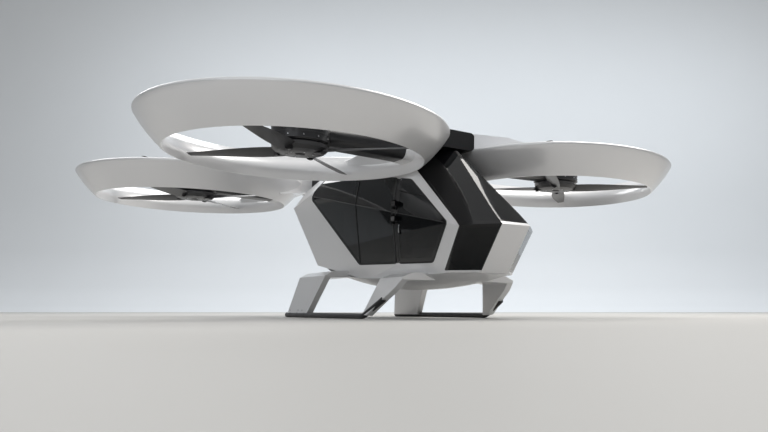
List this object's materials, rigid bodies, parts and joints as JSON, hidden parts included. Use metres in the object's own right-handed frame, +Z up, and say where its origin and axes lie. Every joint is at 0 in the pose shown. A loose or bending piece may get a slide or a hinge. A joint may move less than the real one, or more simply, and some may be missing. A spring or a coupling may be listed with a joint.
{
  "type": "evtol aircraft",
  "caption": "Small electric passenger aircraft with ducted lift fans at its corners, a faceted glazed cabin with hinged doors, a roof spine and landing skids.",
  "frame": {"origin": "on the ground, under the middle of the four ducts", "axes": "+Z up, the nose points along -Y, +X is the aircraft's left side"},
  "size_m": [7.5374, 8.3572, 2.5729],
  "materials": {
    "white_shell": "gloss white paint",
    "gloss_black": "gloss",
    "satin_black": "satin black",
    "rotor_black": "satin composite",
    "dark_glass": "tinted",
    "seat_leather": "satin",
    "cabin_trim": "matte",
    "battery_case": "satin"
  },
  "bodies": {
    "airframe": {"arm_front_left": "satin_black", "arm_front_right": "satin_black", "arm_rear_left": "satin_black", "arm_rear_right": "satin_black", "battery_pack": "battery_case", "belly_hull": "white_shell", "cabin_floor": "cabin_trim", "chin_windows": "dark_glass", "door_post_left": "gloss_black", "door_post_right": "gloss_black", "duct_front_left": "white_shell", "duct_front_right": "white_shell", "duct_rear_left": "white_shell", "duct_rear_right": "white_shell", "front_seats": "seat_leather", "instrument_pod": "cabin_trim", "nose_panel": "white_shell", "pod_front_left": "satin_black", "pod_front_right": "satin_black", "pod_rear_left": "satin_black", "pod_rear_right": "satin_black", "rear_bulkhead": "cabin_trim", "rear_seats": "seat_leather", "rear_window_left": "dark_glass", "rear_window_right": "dark_glass", "roof_shell": "gloss_black", "roof_spine": "satin_black", "root_front_left": "white_shell", "root_front_right": "white_shell", "root_rear_left": "white_shell", "root_rear_right": "white_shell", "side_frame_left": "white_shell", "side_frame_right": "white_shell", "skid_runner_left": "satin_black", "skid_runner_right": "satin_black", "skid_strut_front_left": "white_shell", "skid_strut_front_right": "white_shell", "skid_strut_rear_left": "white_shell", "skid_strut_rear_right": "white_shell", "tail_shell": "white_shell", "under_shell": "white_shell", "windshield": "dark_glass"},
    "rotor_upper_front_right": {"rotor_upper_front_right": "rotor_black"},
    "rotor_lower_front_right": {"rotor_lower_front_right": "rotor_black"},
    "rotor_upper_front_left": {"rotor_upper_front_left": "rotor_black"},
    "rotor_lower_front_left": {"rotor_lower_front_left": "rotor_black"},
    "rotor_upper_rear_right": {"rotor_upper_rear_right": "rotor_black"},
    "rotor_lower_rear_right": {"rotor_lower_rear_right": "rotor_black"},
    "rotor_upper_rear_left": {"rotor_upper_rear_left": "rotor_black"},
    "rotor_lower_rear_left": {"rotor_lower_rear_left": "rotor_black"},
    "door_left": {"door_left": "gloss_black", "door_glass_left": "dark_glass"},
    "door_right": {"door_right": "gloss_black", "door_glass_right": "dark_glass"}
  },
  "joints": [
    {"name": "rotor_upper_front_right_spin", "type": "hinge", "parent": "airframe", "child": "rotor_upper_front_right", "pos_m": [-2.01, -2.42, 2.35], "axis": [0, 0, 1], "continuous": true},
    {"name": "rotor_lower_front_right_spin", "type": "hinge", "parent": "airframe", "child": "rotor_lower_front_right", "pos_m": [-2.01, -2.42, 2.02], "axis": [0, 0, 1], "continuous": true},
    {"name": "rotor_upper_front_left_spin", "type": "hinge", "parent": "airframe", "child": "rotor_upper_front_left", "pos_m": [2.01, -2.42, 2.35], "axis": [0, 0, 1], "continuous": true},
    {"name": "rotor_lower_front_left_spin", "type": "hinge", "parent": "airframe", "child": "rotor_lower_front_left", "pos_m": [2.01, -2.42, 2.02], "axis": [0, 0, 1], "continuous": true},
    {"name": "rotor_upper_rear_right_spin", "type": "hinge", "parent": "airframe", "child": "rotor_upper_rear_right", "pos_m": [-2.01, 2.42, 2.418], "axis": [0, 0, 1], "continuous": true},
    {"name": "rotor_lower_rear_right_spin", "type": "hinge", "parent": "airframe", "child": "rotor_lower_rear_right", "pos_m": [-2.01, 2.42, 2.088], "axis": [0, 0, 1], "continuous": true},
    {"name": "rotor_upper_rear_left_spin", "type": "hinge", "parent": "airframe", "child": "rotor_upper_rear_left", "pos_m": [2.01, 2.42, 2.418], "axis": [0, 0, 1], "continuous": true},
    {"name": "rotor_lower_rear_left_spin", "type": "hinge", "parent": "airframe", "child": "rotor_lower_rear_left", "pos_m": [2.01, 2.42, 2.088], "axis": [0, 0, 1], "continuous": true},
    {"name": "door_left_hinge", "type": "hinge", "parent": "airframe", "child": "door_left", "pos_m": [0.634, -2.13, 1.3], "axis": [0, 0, 1], "range_deg": [0, 75]},
    {"name": "door_right_hinge", "type": "hinge", "parent": "airframe", "child": "door_right", "pos_m": [-0.634, -2.13, 1.3], "axis": [0, 0, -1], "range_deg": [0, 75]}
  ]
}
